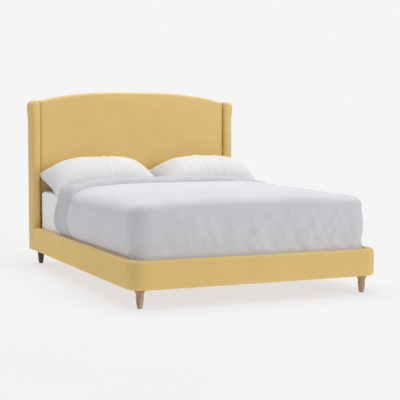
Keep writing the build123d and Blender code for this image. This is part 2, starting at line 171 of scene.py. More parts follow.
def timber(name, light, dark, along, roughness=0.6, grain=1.0, coat=0.0):
    """Sawn or turned timber, its grain running along one axis."""
    paint = Paint(name, roughness, Specular_IOR_Level=0.35, Coat_Weight=coat, Coat_Roughness=0.35)
    stretch = [1.0, 1.0, 1.0]
    stretch["XYZ".index(along)] = 0.06
    rings = paint.cloud(34 * grain, 5.0, stretch)
    fibres = paint.cloud(260 * grain, 3.0, stretch)
    patches = paint.cloud(9, 2.0)
    figure = paint.math("ADD", paint.math("MULTIPLY", rings, 0.65), paint.math("MULTIPLY", fibres, 0.35))
    share = paint.span(figure, 0.36, 0.64)
    share = paint.math("ADD", paint.math("MULTIPLY", share, 0.8), paint.math("MULTIPLY", patches, 0.2))
    rough = paint.span(fibres, 0.3, 0.7, roughness + 0.08, roughness - 0.08)
    return paint.finish(paint.mix(share, dark, light), paint.bump(figure, 0.0006), rough)


def metal(name, colour, scratch, roughness):
    """Plated steel with faint scratches and dull spots."""
    paint = Paint(name, roughness, Metallic=1.0)
    lines = paint.cloud(300, 3.0, (1, 0.08, 1))
    spots = paint.cloud(60, 4.0)
    rough = paint.span(paint.math("ADD", lines, spots), 0.7, 1.3, roughness - 0.1, roughness + 0.15)
    return paint.finish(paint.mix(spots, scratch, colour), paint.bump(lines, 0.0001), rough)


def moulded(name, light, dark, roughness, grit):
    """Moulded plastic or rubber with a fine texture and rubbed patches."""
    paint = Paint(name, roughness, Specular_IOR_Level=0.4)
    fine = paint.cloud(900, 2.0)
    rubbed = paint.cloud(40, 3.0)
    rough = paint.span(rubbed, 0.3, 0.7, roughness - 0.12, roughness + 0.08)
    return paint.finish(paint.mix(rubbed, dark, light), paint.bump(fine, grit), rough)


upholstery = cloth("upholstery_linen", tint(232, 201, 132), tint(225, 193, 124), 0.0021, 0.03, 0.00012)
slot_paints = {
    "mustard_cloth": upholstery,
    "frame_timber": timber("frame_timber", tint(206, 172, 126), tint(170, 130, 84), "X"),
    "slat_timber": timber("slat_timber", tint(222, 190, 144), tint(188, 150, 104), "X"),
    "plywood": timber("plywood", tint(214, 180, 132), tint(180, 142, 96), "Z", 0.65, 0.7),
    "turned_wood": timber("turned_wood", tint(196, 166, 132), tint(142, 112, 84), "Z", 0.5, 1.6, 0.15),
    # Rear feet: a darker stain than the front feet. It is partly their own finish and partly painted shade
    # for the shadow they stand in under the bed.
    "dark_turned_wood": timber("dark_turned_wood", tint(92, 74, 60), tint(56, 45, 37), "Z", 0.5, 1.6, 0.15),
    "plated_steel": metal("plated_steel", (0.62, 0.63, 0.64, 1), (0.42, 0.42, 0.43, 1), 0.38),
    "bolt_steel": metal("bolt_steel", (0.5, 0.49, 0.46, 1), (0.3, 0.29, 0.27, 1), 0.42),
    "black_plastic": moulded("black_plastic", tint(52, 52, 54), tint(30, 30, 32), 0.5, 0.0001),
    "pad_rubber": moulded("pad_rubber", tint(88, 78, 70), tint(60, 54, 48), 0.75, 0.0002),
    "webbing": cloth("webbing", tint(84, 84, 88), tint(56, 56, 60), 0.0024, 0.05, 0.0004),
    "mattress_ticking": cloth(
        "mattress_ticking", tint(246, 244, 240), tint(230, 228, 222), 0.0016, 0.08, 0.0002),
    "white_cotton": cloth(
        "white_cotton", tint(244, 244, 245), tint(238, 238, 240), 0.0009, 0.03, 0.00008, 0.3),
    "pillow_ticking": cloth("pillow_ticking", tint(244, 244, 244), tint(232, 232, 232), 0.0012, 0.05, 0.0001),
    "blanket_cotton": cloth(
        "blanket_cotton", tint(204, 203, 208), tint(195, 194, 200), 0.0016, 0.04, 0.00015),
    "duvet_cotton": cloth(
        "duvet_cotton", tint(219, 218, 223), tint(211, 210, 215), 0.0012, 0.04, 0.0001, 0.35),
}


def paint_cad_nodes():
    """Give every carried-over node the material of its slot in the record."""
    for row in frame["record"]["subparts"]:
        piece = nodes[row["node"]]
        if not piece.material_slots:
            piece.data.materials.append(None)
        for slot in piece.material_slots:
            slot.material = slot_paints[row["material_slot"]]


# ---------------------------------------- mesh helpers
weld = 1e-5  # points of one piece closer than this are the same point


def grid_faces(rows, columns, closed_rows=False):
    """Quads of a grid of points stored row by row."""
    faces = []
    for row in range(rows if closed_rows else rows - 1):
        after = (row + 1) % rows
        for column in range(columns - 1):
            first = row * columns + column
            second = after * columns + column
            faces.append((first, first + 1, second + 1, second))
    return faces


def make_piece(name, points, faces, slot, body, merge=0.0):
    """A smooth mesh in the row frame that rides on a body and takes its slot's material."""
    mesh = bpy.data.meshes.new(name)
    mesh.from_pydata(np.asarray(points).reshape(-1, 3).tolist(), [], faces)
    piece = bpy.data.objects.new(name, mesh)
    bpy.context.scene.collection.objects.link(piece)
    if merge:
        tidy_mesh(piece, merge)
    mesh.polygons.foreach_set("use_smooth", [True] * len(mesh.polygons))
    mesh.materials.append(slot_paints[slot])
    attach(piece, body)
    return piece


def tidy_mesh(piece, distance):
    """Join points that meet and turn every face outwards."""
    work = bmesh.new()
    work.from_mesh(piece.data)
    bmesh.ops.remove_doubles(work, verts=work.verts, dist=distance)
    bmesh.ops.dissolve_degenerate(work, edges=work.edges, dist=distance / 10)
    bmesh.ops.recalc_face_normals(work, faces=work.faces)
    if all(edge.is_manifold for edge in work.edges) and work.calc_volume(signed=True) < 0:
        bmesh.ops.reverse_faces(work, faces=work.faces)
    work.to_mesh(piece.data)
    work.free()


def apply_modifiers(piece):
    """Turn what the modifiers give into the piece's own mesh."""
    evaluated = piece.evaluated_get(bpy.context.evaluated_depsgraph_get())
    mesh = bpy.data.meshes.new_from_object(evaluated)
    piece.modifiers.clear()
    piece.data = mesh


def thicken(piece, thickness):
    """Give an open skin its thickness, inwards."""
    shell = piece.modifiers.new("shell", "SOLIDIFY")
    shell.thickness = thickness
    shell.offset = -1
    apply_modifiers(piece)


def ripple(points, scale, seed, stretch=(1, 1, 1)):
    """Smooth noise from about -1 to 1 at each point."""
    spots = np.asarray(points) * np.asarray(stretch) * scale + seed
    return np.array([noise.noise(Vector(spot)) for spot in spots.reshape(-1, 3)]).reshape(spots.shape[:-1])


def grid_normals(points):
    """Unit normals of a grid of points."""
    across = np.gradient(points, axis=1)
    along = np.gradient(points, axis=0)
    normals = np.cross(across, along)
    return normals / np.maximum(np.linalg.norm(normals, axis=-1, keepdims=True), 1e-9)


def eased(radius, steps=7):
    """Distances from an edge, close together where the surface turns."""
    return [radius * (1 - math.cos(math.pi / 2 * step / steps)) for step in range(steps + 1)]


def smooth_step(value):
    """0 below 0, 1 above 1, and an easy change between them."""
    value = np.clip(value, 0, 1)
    return value * value * (3 - 2 * value)


# ---------------------------------------- headboard
pad_low, pad_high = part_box("headboard_front_pad")
wing_low, wing_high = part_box("wing_roll_right")
back_low, back_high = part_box("headboard_back_panel")
face_board_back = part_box("headboard_face_board")[1][1]
arch_drop = 0.075
cover_thickness = 0.011


def arch_line(x):
    """Top line of the headboard pad."""
    return pad_high[2] - arch_drop * abs(x / pad_high[0]) ** 3


def across_stations(left, right, radius, step):
    """Places across a panel, close together near both sides."""
    edge = eased(radius)
    count = max(3, round((right - left - 2 * radius) / step))
    middle = np.linspace(left + radius, right - radius, count + 1)[1:-1]
    return [left + d for d in edge] + list(middle) + [right - d for d in reversed(edge)]


def panel_front(stations, drops, top_line, bottom, front, radius, reach):
    """Front of a padded panel: flat in the middle and turned back near its outline."""
    rows = []
    for x in stations:
        top = top_line(x)
        lower = np.linspace(top - radius, bottom, drops)[1:]
        column = []
        for z in [top - d for d in eased(radius)] + list(lower):
            turn = min(radius, reach(x, z, top))
            column.append((x, front + radius - math.sqrt(radius**2 - turn**2), z))
        rows.append(column)
    return np.array(rows)


def panel_sides(front, side_back, top_back, steps=6):
    """The rim of the front carried back to the frame, as one strip of points."""
    first = front[0][::-1]
    rim = np.concatenate([first, front[1:-1, 0], front[-1]])
    top_start, top_end = len(first) - 1, len(first) + len(front) - 2
    backs = [side_back[0]] * top_start + [top_back] * (top_end - top_start + 1)
    backs += [side_back[1]] * (len(rim) - len(backs))
    strip = []
    for step in range(steps + 1):
        row = rim.copy()
        row[:, 1] += (np.array(backs) - rim[:, 1]) * step / steps
        strip.append(row)
    return np.array(strip)


def join_grids(*grids):
    """Points and faces of several grids as one mesh."""
    points, faces = [], []
    for grid in grids:
        faces += [tuple(corner + len(points) for corner in face) for face in grid_faces(*grid.shape[:2])]
        points += grid.reshape(-1, 3).tolist()
    return points, faces


def front_pad():
    """Padded front of the headboard, with its cover carried back over the frame's edge."""
    radius, side_depth = 0.0205, 0.0210
    left, right = pad_low[0], pad_high[0]

    def reach(x, z, top):
        side = max(0, radius - min(x - left, right - x))
        return math.hypot(side, max(0, radius - (top - z)))

    stations = across_stations(left, right, radius, 0.024)
    front = panel_front(stations, 52, arch_line, pad_low[2], pad_low[1], radius, reach)
    from_side = right - abs(front[..., 0])
    soft = smooth_step(from_side / 0.08) * smooth_step((arch_line(0) - front[..., 2]) / 0.1)
    front[..., 1] += 0.0012 * soft * ripple(front, 5, 3.1) - 0.002 * soft
    pucker = np.exp(-(from_side - 0.03) ** 2 / 0.0003)
    front[..., 1] += 0.0008 * pucker * ripple(front, 18, 8.7)
    side_back = pad_low[1] + side_depth
    sides = panel_sides(front, (side_back, side_back), pad_high[1] - 0.0005)
    piece = make_piece("front_pad_cover", *join_grids(front, sides), "mustard_cloth", "bed_frame", weld)
    thicken(piece, cover_thickness)
    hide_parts("headboard_front_pad")


def wing_cover(side, name):
    """Padded roll that wraps one wing, rounded on its nose and top outer corner."""
    radius, corner, dip, flare = 0.029, 0.042, 0.006, 0.006
    inner, outer, top_level = wing_low[0] + 0.0005, wing_high[0], wing_high[2]
    corner_x, corner_z = outer - corner, top_level - corner

    def top_line(x):
        towards_pad = max(0, 1 - (x - inner) / (corner_x - inner))
        past = max(0, x - corner_x)
        return top_level - dip * towards_pad**2 - (corner - math.sqrt(max(0, corner**2 - past**2)))

    def reach(x, z, top):
        inner_turn = max(0, radius - (x - inner))
        if x > corner_x and z > corner_z:
            outer_turn = radius - (corner - math.hypot(x - corner_x, z - corner_z))
        else:
            outer_turn = max(radius - (outer - x), radius - (top - z))
        return math.hypot(inner_turn, max(0, outer_turn))

    stations = across_stations(inner, outer, radius, 0.003)
    front = panel_front(stations, 76, top_line, wing_low[2], wing_low[1], radius, reach)
    board_back = face_board_back - 0.001
    sides = panel_sides(front, (board_back, wing_high[1]), wing_high[1])
    for grid in (front, sides):
        share = smooth_step((grid[..., 2] - 1.06) / 0.14) * (grid[..., 0] - inner) / (outer - inner)
        grid[..., 0] += flare * share
        outward = (grid[..., 0] - inner) / (outer - inner)
        grid[..., 0] += 0.0010 * outward * ripple(grid, 7, 5.3)
        grid[..., 0] *= side
    piece = make_piece(f"{name}_cover", *join_grids(front, sides), "mustard_cloth", "bed_frame", weld)
    thicken(piece, cover_thickness)
    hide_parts(name)


def back_cloth():
    """Flat cloth closed over the back of the frame, drawn in a little between its edges."""
    radius = 0.003
    left, right = back_low[0] + 0.001, back_high[0] - 0.001
    corner = 0.042
    wing_start = pad_high[0]

    def top_line(x):
        if abs(x) < wing_start:
            return arch_line(x) - 0.001
        past = max(0, abs(x) - (right - corner))
        return wing_high[2] - 0.001 - (corner - math.sqrt(max(0, corner**2 - past**2)))

    def reach(x, z, top):
        return max(0, radius - min(x - left, right - x, top - z))

    stations = across_stations(left, right, radius, 0.022)
    at_corner = [right - corner * (1 - math.sin(angle)) for angle in np.linspace(0, 1.5, 8)]
    stations = sorted(stations + at_corner + [-x for x in at_corner])
    grid = panel_front(stations, 48, top_line, back_low[2] + 0.001, 0.0, radius, reach)
    soft = smooth_step((right - abs(grid[..., 0])) / 0.06)
    sag = 0.0007 * soft * (1 + ripple(grid, 4, 1.7))
    grid[..., 1] = back_high[1] - grid[..., 1] - sag
    piece = make_piece("back_cloth", *join_grids(grid[::-1]), "mustard_cloth", "bed_frame", weld)
    thicken(piece, 0.0012)
    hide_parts("headboard_back_panel")


# ---------------------------------------- rails
rail_low, rail_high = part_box("foot_rail_cover")
side_low, side_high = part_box("side_rail_cover_right")
rail_depth = side_high[0] - side_low[0]
plan_corner = 0.100


def rail_section():
    """Inset from the outer face, and height, round the cover from its inner flap to below the board."""
    bottom, top = rail_low[2], rail_high[2]
    flap, inner_round, outer_round, under_round = 0.022, 0.005, 0.016, 0.011
    crown = 0.0016
    points = [(rail_depth, top - flap), (rail_depth, top - flap / 2)]
    for angle in np.linspace(0, math.pi / 2, 5):
        inset = rail_depth - inner_round * (1 - math.cos(angle))
        points.append((inset, top - inner_round * (1 - math.sin(angle))))
    for inset in np.linspace(rail_depth - 0.011, outer_round + 0.003, 5):
        points.append((inset, top))
    for angle in np.linspace(math.pi / 2, 0, 9):
        points.append((outer_round * (1 - math.cos(angle)), top - outer_round * (1 - math.sin(angle))))
    for share in np.linspace(0, 1, 14)[1:-1]:
        points.append((0.0, top - outer_round + share * (bottom + under_round - top + outer_round)))
    for angle in np.linspace(0, math.pi / 2, 7):
        points.append((under_round * (1 - math.cos(angle)), bottom + under_round * (1 - math.sin(angle))))
    for inset in np.linspace(under_round + 0.006, rail_depth - 0.002, 4):
        points.append((inset, bottom))
    middle, half = (bottom + top) / 2, (top - bottom) / 2
    return [(inset + crown * ((z - middle) / half) ** 4, z) for inset, z in points]


def swept_cover(name, plan, seed):
    """The rail section carried along a plan line of (place, outward direction), pinched at its ends."""
    pinch_depth, pinch_length, pinch_above = 0.0028, 0.012, 0.26
    section = rail_section()
    places = np.array([spot for spot, _ in plan])
    runs = np.concatenate([[0], np.cumsum(np.linalg.norm(np.diff(places, axis=0), axis=1))])
    rows = []
    for (spot, out), run in zip(plan, runs):
        near_end = min(run, runs[-1] - run)
        pinch = pinch_depth * max(0, 1 - near_end / pinch_length) ** 2
        row = []
        for inset, z in section:
            back = inset + pinch
            row.append((spot[0] - out[0] * back, spot[1] - out[1] * back, z - pinch * (z > pinch_above)))
        rows.append(row)
    grid = np.array(rows)
    outs = np.array([out for _, out in plan])[:, None, :]
    insets = np.array([inset for inset, _ in section])
    face = smooth_step(1 - insets / 0.03)[None, :]
    swell = face * (0.0008 * ripple(grid, 3.2, seed) + 0.0004 * ripple(grid, 11, seed + 4) - 0.0008)
    grid[..., :2] += outs * swell[..., None]
    piece = make_piece(f"{name}_cloth", grid, grid_faces(*grid.shape[:2]), "mustard_cloth", "bed_frame")
    thicken(piece, 0.0035)
    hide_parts(name)


def run_of(start, end, step):
    """Distances from start to end: close at the ends, a step apart between them."""
    edge = [0, 0.002, 0.004, 0.007, 0.012]
    sign = 1 if end > start else -1
    middle = np.linspace(start + sign * 0.02, end - sign * 0.02, max(2, round(abs(end - start) / step)))
    return [start + sign * d for d in edge] + list(middle) + [end - sign * d for d in reversed(edge)]


def side_cover(side, name):
    """Padded cover of one side rail; side is 1 on the right and -1 on the left."""
    plan = [((side * side_high[0], y), (side, 0)) for y in run_of(side_low[1], side_high[1], 0.03)]
    if side > 0:
        plan.reverse()
    swept_cover(name, plan, 2.0 + side)


def foot_cover():
    """Padded cover of the foot rail, round both corners of the bed."""
    half, face, joint = rail_high[0], rail_low[1], rail_high[1]
    right = [((half, y), (1, 0)) for y in run_of(joint, face + plan_corner, 0.006)[:-5]]
    for angle in np.linspace(0, math.pi / 2, 17):
        out = (math.cos(angle), -math.sin(angle))
        centre = (half - plan_corner, face + plan_corner)
        right.append(((centre[0] + plan_corner * out[0], centre[1] + plan_corner * out[1]), out))
    reach = half - plan_corner
    front = [((x, face), (0, -1)) for x in np.linspace(reach, -reach, 50)[1:-1]]
    left = [((-x, y), (-out_x, out_y)) for (x, y), (out_x, out_y) in reversed(right)]
    swept_cover("foot_rail_cover", right + front + left, 6.0)


# ---------------------------------------- bedding over the mattress
mattress_low, mattress_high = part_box("mattress")
sheet_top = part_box("fitted_sheet")[1][2]
blanket_low, blanket_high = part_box("blanket")
duvet_low, duvet_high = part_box("duvet")
mattress_corner = 0.035
blanket_rise = 0.0484
blanket_level = mattress_high[2] + blanket_rise
quilt_step = 0.0125


def quarter(radius_n, radius_z, steps=9):
    """A quarter turn from level to upright, as (outward, down) pairs."""
    angles = np.linspace(0, math.pi / 2, steps)
    return [(radius_n * math.sin(a), radius_z * (1 - math.cos(a))) for a in angles]


def side_profile(reach, top, bottom, edge_n, edge_z, shape, steps=16):
    """Outward distance and height from the flat top, over the edge and down the side.

    shape takes the share of the way down and gives how far the side stands in from its widest line."""
    line = [(0.0, top)] + [(reach - edge_n + n, top - z) for n, z in quarter(edge_n, edge_z)]
    start = top - edge_z
    for share in np.linspace(0, 1, steps + 1)[1:]:
        line.append((reach, start + (bottom - start) * share))
    line = np.array(line)
    down = np.clip((start - line[:, 1]) / (start - bottom), 0, 1)
    line[:, 0] -= np.array([shape(share) for share in down]) * np.clip(line[:, 0] / reach, 0, 1) ** 6
    return line


class Drape:
    """A layer over the mattress: cloth coordinates in, points out.

    The middle lies level inside an inner rectangle. Past it the cloth follows one profile, and at a
    corner the square grid of the cloth turns into rings round the corner."""

    def __init__(self, half, foot, corner, profile, head=None, foot_profile=None, crown=None):
        self.half, self.foot, self.corner, self.head = half, foot, corner, head
        self.profile, self.crown = profile, crown
        self.foot_out = (profile if foot_profile is None else foot_profile)[:, 0]
        steps = np.linalg.norm(np.diff(profile, axis=0), axis=1)
        self.lengths = np.concatenate([[0], np.cumsum(steps)])
        self.reach = self.lengths[-1]

    def points(self, across, along):
        """across runs from the middle; along runs from the foot's inner line towards the head."""
        flat_half = self.half - self.corner
        past_x = np.maximum(0, abs(across) - flat_half)
        past_foot = np.maximum(0, -along)
        level = np.maximum(along, 0)
        past_head = np.zeros_like(along)
        if self.head is not None:
            span = self.head - self.foot - 2 * self.corner
            past_head = np.maximum(0, along - span)
            level = np.minimum(level, span)
        past_y = past_foot + past_head
        furthest = np.maximum(past_x, past_y)
        least = np.minimum(past_x, past_y)
        share = least / np.maximum(furthest, 1e-9)
        angle = np.where(past_x >= past_y, math.pi / 4 * share, math.pi / 2 - math.pi / 4 * share)
        side_out = np.interp(furthest, self.lengths, self.profile[:, 0])
        foot_out = np.interp(furthest, self.lengths, self.foot_out)
        out = side_out + (foot_out - side_out) * smooth_step((angle - 0.60) / 0.40)
        height = np.interp(furthest, self.lengths, self.profile[:, 1])
        facing = np.where(past_head > 0, 1, -1)
        x = np.sign(across) * (np.minimum(abs(across), flat_half) + np.cos(angle) * out)
        y = self.foot + self.corner + level + facing * np.sin(angle) * out
        if self.crown is not None:
            above_rail = (height - rail_high[2]) / (self.profile[0, 1] - rail_high[2])
            height = height + self.crown(x, y) * np.clip(above_rail, 0, 1) ** 1.5
        return np.stack([x, y, height], axis=-1)

    def past_edge(self, across):
        """How far each place across has gone from the level middle to the hem, 0 to 1."""
        return np.clip((abs(across) - self.half + self.corner) / self.reach, 0, 1)


def spread(low, high, step):
    """Even places from low to high, about a step apart."""
    return np.linspace(low, high, max(2, round((high - low) / step)) + 1)


def straight(_share):
    """The shape of a side that hangs straight."""
    return 0.0


def mattress_piece():
    """The mattress under its sheet: quilted top, taped edges and soft sides."""
    half, foot, head = mattress_high[0], mattress_low[1], mattress_high[1]
    low, high = mattress_low[2] + 0.0005, mattress_high[2]
    tape = 0.0025

    def side(share):
        return 0.004 - 0.003 * math.sin(math.pi * share) - tape * math.exp(-((share - 0.02) / 0.02) ** 2)

    upper = side_profile(mattress_corner, high, low + 0.012, 0.025, 0.025, side, 22)
    turn = ((0.002, 0.006), (0.008, 0.012), (0.03, 0.012))
    under = [(mattress_corner - 0.004 - inwards, low + 0.012 - down) for inwards, down in turn]
    profile = np.concatenate([upper, under])
    layer = Drape(half, foot, mattress_corner, profile, head)
    across = spread(-half + mattress_corner - layer.reach, half - mattress_corner + layer.reach, 0.02)
    length = head - foot - 2 * mattress_corner
    along = spread(-layer.reach, length + layer.reach, 0.02)
    a, b = np.meshgrid(across, along)
    grid = layer.points(a, b)
    top = smooth_step((grid[..., 2] - high + 0.004) / 0.004)
    tufts = np.sin(grid[..., 0] * math.pi / 0.11) * np.sin(grid[..., 1] * math.pi / 0.11)
    grid[..., 2] -= 0.0015 * top * (1 - abs(tufts))
    faces = close_underside(grid)
    piece = make_piece("mattress_cover", grid, faces, "mattress_ticking", "mattress_body", weld)
    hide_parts("mattress")


def close_underside(grid):
    """Faces of the grid, and one that closes the underside."""
    rows, columns = grid.shape[:2]
    rim = [c for c in range(columns)] + [r * columns + columns - 1 for r in range(1, rows)]
    rim += [(rows - 1) * columns + c for c in reversed(range(columns - 1))]
    rim += [r * columns for r in reversed(range(1, rows - 1))]
    return grid_faces(rows, columns) + [tuple(reversed(rim))]


def fitted_sheet_piece():
    """White sheet pulled over the mattress, its elastic edge turned under."""
    gap, thickness, turn_under = 0.0016, 0.0009, 0.055
    half, foot, head = mattress_high[0] + gap, mattress_low[1] - gap, mattress_high[1] + gap
    corner = mattress_corner + gap
    high, low = sheet_top - 0.0002, mattress_low[2] - 0.0010
    upper = side_profile(corner, high, low + 0.010, 0.026, 0.026, straight, 20)
    turn = ((0.003, 0.007), (0.010, 0.010), (turn_under, 0.010))
    under = [(corner - inwards, low + 0.010 - down) for inwards, down in turn]
    layer = Drape(half, foot, corner, np.concatenate([upper, under]), head)
    across = spread(-half + corner - layer.reach, half - corner + layer.reach, 0.014)
    along = spread(-layer.reach, head - foot - 2 * corner + layer.reach, 0.014)
    a, b = np.meshgrid(across, along)
    grid = layer.points(a, b)
    normals = grid_normals(grid)
    below_top = smooth_step((high - 0.03 - grid[..., 2]) / 0.10)
    side_share = below_top * smooth_step((grid[..., 2] - low - 0.012) / 0.03)
    tension = 0.0012 * side_share * ripple(grid, 9, 2.2, (1, 1, 0.35))
    grid += normals * (tension + 0.0004)[..., None]
    faces = grid_faces(*grid.shape[:2])
    piece = make_piece("bottom_sheet", grid, faces, "white_cotton", "mattress_body", weld)
    thicken(piece, thickness)
    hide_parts("fitted_sheet")


def lip_rows(head_lip, hem_lip, step):
    """Pairs of (share of the length from hem to head, share of the way from inner to outer face).

    They run up the outer face, round the head edge, down the inner face and round the hem."""
    turn = np.linspace(0, math.pi, 11)[1:-1]
    flat = spread(hem_lip, 1 - head_lip, step)
    outer = [(place, 1.0) for place in flat]
    over = [(1 - head_lip + head_lip * math.sin(angle), (1 + math.cos(angle)) / 2) for angle in turn]
    inner = [(place, 0.0) for place in flat[::-1]]
    under = [(hem_lip - hem_lip * math.sin(angle), (1 - math.cos(angle)) / 2) for angle in turn]
    return outer + over + inner + under


def layered(outer, inner, head_line, head_lip, hem_lip, row_step):
    """A quilt of two faces that meet in a rounded edge all round.

    The lips and the row step are shares of the length. Gives the points, the share of the way out
    to the outer face, and the cloth coordinates."""
    flat = outer.half - outer.corner
    across = spread(-flat - outer.reach, flat + outer.reach, quilt_step)
    edge = np.clip((abs(across) - flat - outer.reach + hem_lip) / hem_lip, 0, 1)
    fade = np.sqrt(1 - edge**2)
    scale = inner.reach / outer.reach
    shift = (inner.half - inner.corner) / flat
    past = np.maximum(0, abs(across) - flat)
    inner_across = np.sign(across) * (np.minimum(abs(across), flat) * shift + past * scale)
    inner_start = outer.foot + outer.corner - inner.foot - inner.corner
    length = head_line(across) + outer.reach
    grid, shares, runs = [], [], []
    for position, share in lip_rows(head_lip, hem_lip, row_step):
        along = -outer.reach + position * length
        outside = outer.points(across, along)
        inside = inner.points(inner_across, np.where(along < 0, along * scale, along + inner_start))
        blend = 0.5 + (share - 0.5) * fade
        grid.append(inside + (outside - inside) * blend[:, None])
        shares.append(blend)
        runs.append(along)
    return np.array(grid), np.array(shares), across, np.array(runs)


def outward(grid):
    """Surface normals turned away from the inside of the mattress."""
    normals = grid_normals(grid)
    centre = np.array([0, (mattress_low[1] + mattress_high[1]) / 2, mattress_low[2] + 0.1])
    away = np.sum((grid - centre) * normals, axis=-1, keepdims=True)
    return normals * np.sign(away + 1e-12)


def edge_wander(past, dip, bulge, tail):
    """How a head edge wanders as it goes over the side: back at the corner, forward, back at the hem."""
    at_corner = dip * np.exp(-(((past - 0.22) / 0.20) ** 2))
    forward = bulge * np.sin(math.pi * np.clip((past - 0.22) / 0.86, 0, 1))
    return forward - at_corner - tail * smooth_step((past - 0.75) / 0.25)


def duvet_edge(across, past):
    """Where the duvet's head edge lies, in Y."""
    scallop = 0.005 * np.sin(across * 13 + 1.1) + 0.004 * np.sin(across * 29 + 0.3)
    return duvet_high[1] - 0.010 + edge_wander(past, 0.045, 0.035, 0.12) + scallop * (1 - past)


def blanket_edge(across, past):
    """Where the blanket's folded head edge lies, in Y."""
    wave = 0.005 * np.sin(across * 7.0 + 0.6) + 0.003 * np.sin(across * 17 + 2)
    return blanket_high[1] - 0.010 + edge_wander(past, 0.0, 0.100, 0.11) + wave * (1 - past)


def blanket_crown(x, y):
    """The blanket thins out towards the sides and foot corners, where it is pulled over the mattress."""
    at_foot = smooth_step((mattress_low[1] + 0.25 - y) / 0.20)
    return -(0.034 + 0.010 * at_foot) * np.clip(abs(x) / mattress_high[0], 0, 1) ** 4


def duvet_crown(x, y):
    """The duvet is plump in the middle, thinner at the sides and a little lower at the foot."""
    towards_foot = np.clip((duvet_high[1] - y) / 1.12, 0, 1)
    sides = np.clip(abs(x) / duvet_high[0], 0, 1) ** 4 * np.where(x < 0, 0.060, 0.042)
    return -sides * (1 - 0.35 * towards_foot) - 0.022 * towards_foot


def blanket_faces():
    """The blanket's outer face and the inner one that lies on the sheet."""
    half, foot, bottom = blanket_high[0], blanket_low[1], blanket_low[2]
    corner, thickness = mattress_corner + 0.007, 0.004
    profile = side_profile(corner, blanket_level, bottom, 0.034, 0.034, straight)
    outer = Drape(half, foot, corner, profile, crown=blanket_crown)
    inner_profile = side_profile(corner - thickness, sheet_top + 0.0012, bottom, 0.029, 0.029, straight)
    return outer, Drape(half - thickness, foot + thickness, corner - thickness, inner_profile)


def blanket_piece():
    """Quilted blanket, tucked in at the sides and foot, its head end folded back on itself."""
    outer, inner = blanket_faces()
    origin = outer.foot + outer.corner

    def head_line(across):
        return blanket_edge(across, outer.past_edge(across)) - origin

    grid, shares, across, along = layered(outer, inner, head_line, 0.040, 0.003, 0.00423)
    past = outer.past_edge(across)
    start = duvet_edge(across, past) - origin
    beyond = along - start[None, :]
    width = (head_line(across) - start)[None, :]
    outside = np.clip(shares * 2 - 1, 0, 1)
    band = smooth_step((beyond - 0.006) / 0.07)
    level_share = smooth_step((0.30 - past) / 0.30)[None, :]
    swell = 0.068 + 0.012 * np.sin(math.pi * np.clip(beyond / width, 0, 1))
    swell = swell - 0.028 * (abs(across) / outer.half) ** 4
    grid[..., 2] += outside * band * level_share * swell
    side_band = smooth_step((beyond - 0.001) / 0.014) * (1 - level_share) * smooth_step((0.96 - past) / 0.12)
    normals = outward(grid)
    folds = 0.0022 * ripple(grid, 10, 9.1, (1, 1, 0.3)) + 0.0020 * ripple(grid, 4.5, 12.4)
    creases = 0.0016 * (1 - abs(ripple(grid, 7, 19.0, (0.5, 1.3, 1)))) ** 4
    puff = 0.0170 * side_band + (folds + creases) * band
    grid += normals * (puff * outside)[..., None]
    faces = grid_faces(*grid.shape[:2], True)
    piece = make_piece("blanket_cloth", grid, faces, "blanket_cotton", "blanket_body", weld)
    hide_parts("blanket")


def leaned(grid, across, along):
    """The points moved sideways in step with their height, so that noise read there slants."""
    return grid + grid[..., 2:] * np.array([across, along, 0.0])


def duvet_wrinkles(grid):
    """How far the duvet stands out at each point: loft, soft folds and fine creases."""
    top = duvet_high[2]
    drop = smooth_step((top - 0.06 - grid[..., 2]) / 0.10)
    low = smooth_step((0.42 - grid[..., 2]) / 0.12)
    at_foot = smooth_step((duvet_low[1] + 0.10 - grid[..., 1]) / 0.09)
    to_right = smooth_step((grid[..., 0] + 0.55) / 0.9)
    stretch_down = (1, 1, 0.14)
    leaning = leaned(grid, 0.45, 0.0)
    slanting = leaned(grid, -0.9, 0.5)
    hang = ripple(grid, 9, 4.4, stretch_down)
    pull = ripple(leaning, 19, 7.9, stretch_down)
    crease = (1 - abs(ripple(slanting, 8, 15.2, (1, 1, 0.25)))) ** 5
    gather = (1 - abs(ripple(leaning, 15, 23.7, (1, 1, 0.2)))) ** 4
    side = 0.0048 * hang + (0.0026 + 0.0022 * to_right) * pull
    side += (0.0040 + 0.0050 * to_right) * at_foot * (crease - 0.25) + 0.0030 * (gather - 0.25)
    side += 0.0012 * low * ripple(grid, 26, 2.5, (1, 1, 0.3))
    corner_x = abs(grid[..., 0]) - duvet_high[0] + 0.08
    corner_y = grid[..., 1] - duvet_low[1] - 0.08
    side *= 1 - 0.85 * np.exp(-(corner_x**2 + corner_y**2) / 0.13**2)
    broad = ripple(grid, 2.0, 21.0)
    shallow = ripple(grid, 5.0, 31.0, (0.6, 1.5, 1))
    line = (1 - abs(ripple(grid, 3.6, 41.0, (0.40, 1.5, 1)))) ** 6
    near_head = smooth_step((grid[..., 1] + 0.35) / 0.45)
    level = 0.0030 * broad + 0.0022 * shallow + 0.0050 * near_head * (line - 0.2)
    return drop * side + (1 - drop) * level


